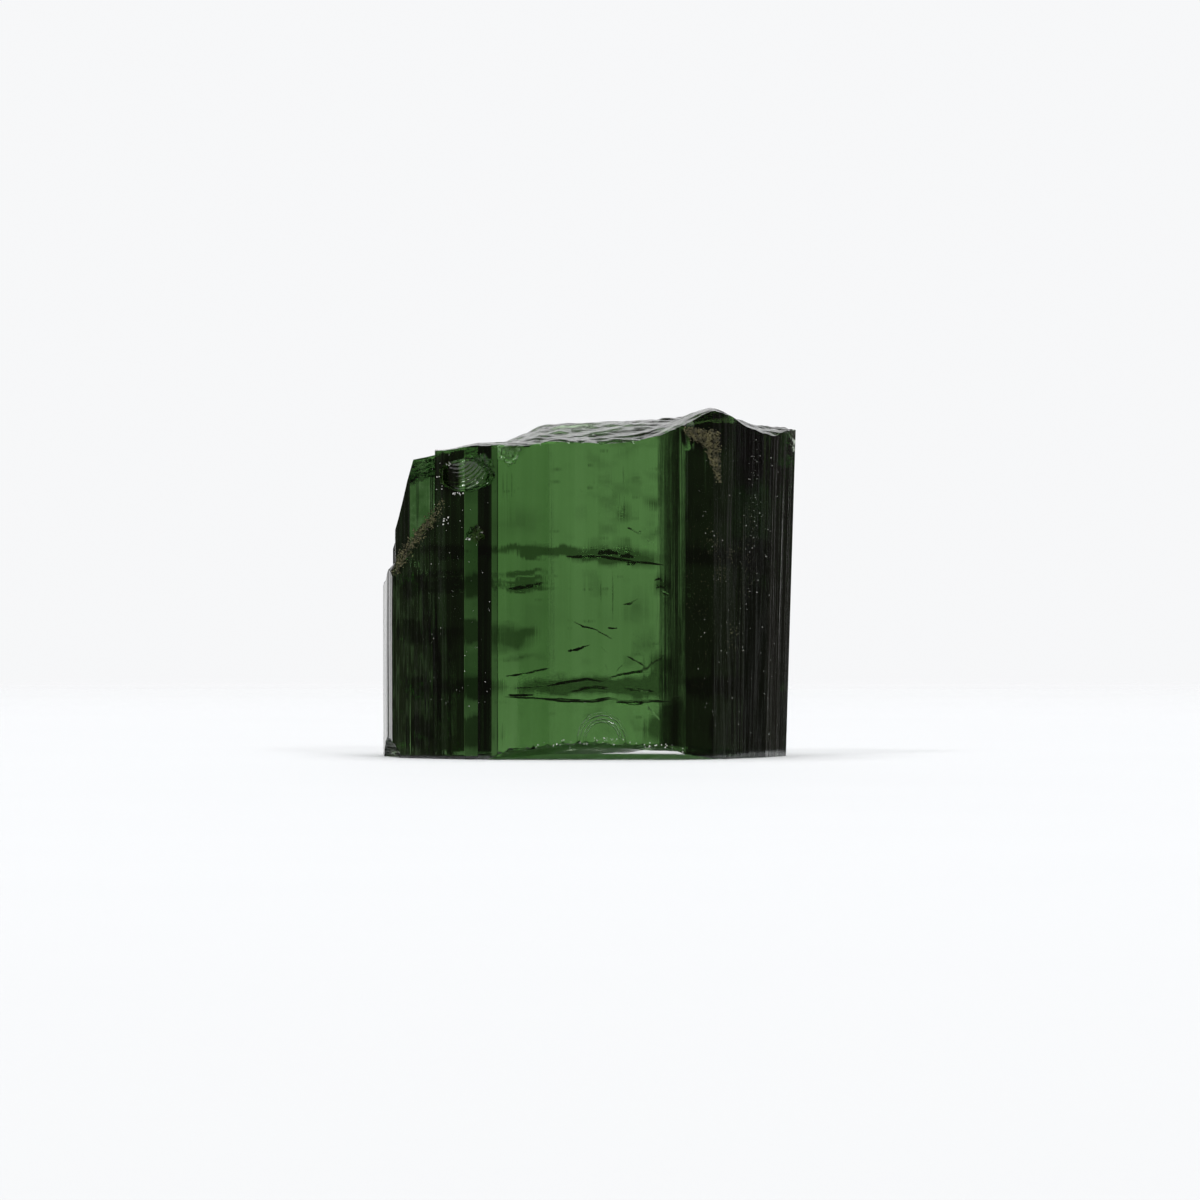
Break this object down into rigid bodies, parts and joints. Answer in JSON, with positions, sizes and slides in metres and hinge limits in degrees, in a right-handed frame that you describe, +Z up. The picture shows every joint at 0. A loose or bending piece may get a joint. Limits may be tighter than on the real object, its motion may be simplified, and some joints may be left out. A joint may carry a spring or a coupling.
{
  "type": "tourmaline crystal",
  "caption": "Short length of a clear green tourmaline crystal: a striated prism, broken across at both ends, that stands on its lower break.",
  "frame": {"origin": "under the middle of the crystal, on the surface that it stands on", "axes": "+Z up along the prism, +X to the right across its broad front face, +Y from that face to the back"},
  "size_m": [0.0192, 0.013, 0.0161],
  "materials": {
    "tourmaline": "see-through dark green crystal, glossy striated faces, uneven breaks"
  },
  "bodies": {
    "root": {"tourmaline_crystal": "tourmaline"}
  },
  "joints": []
}
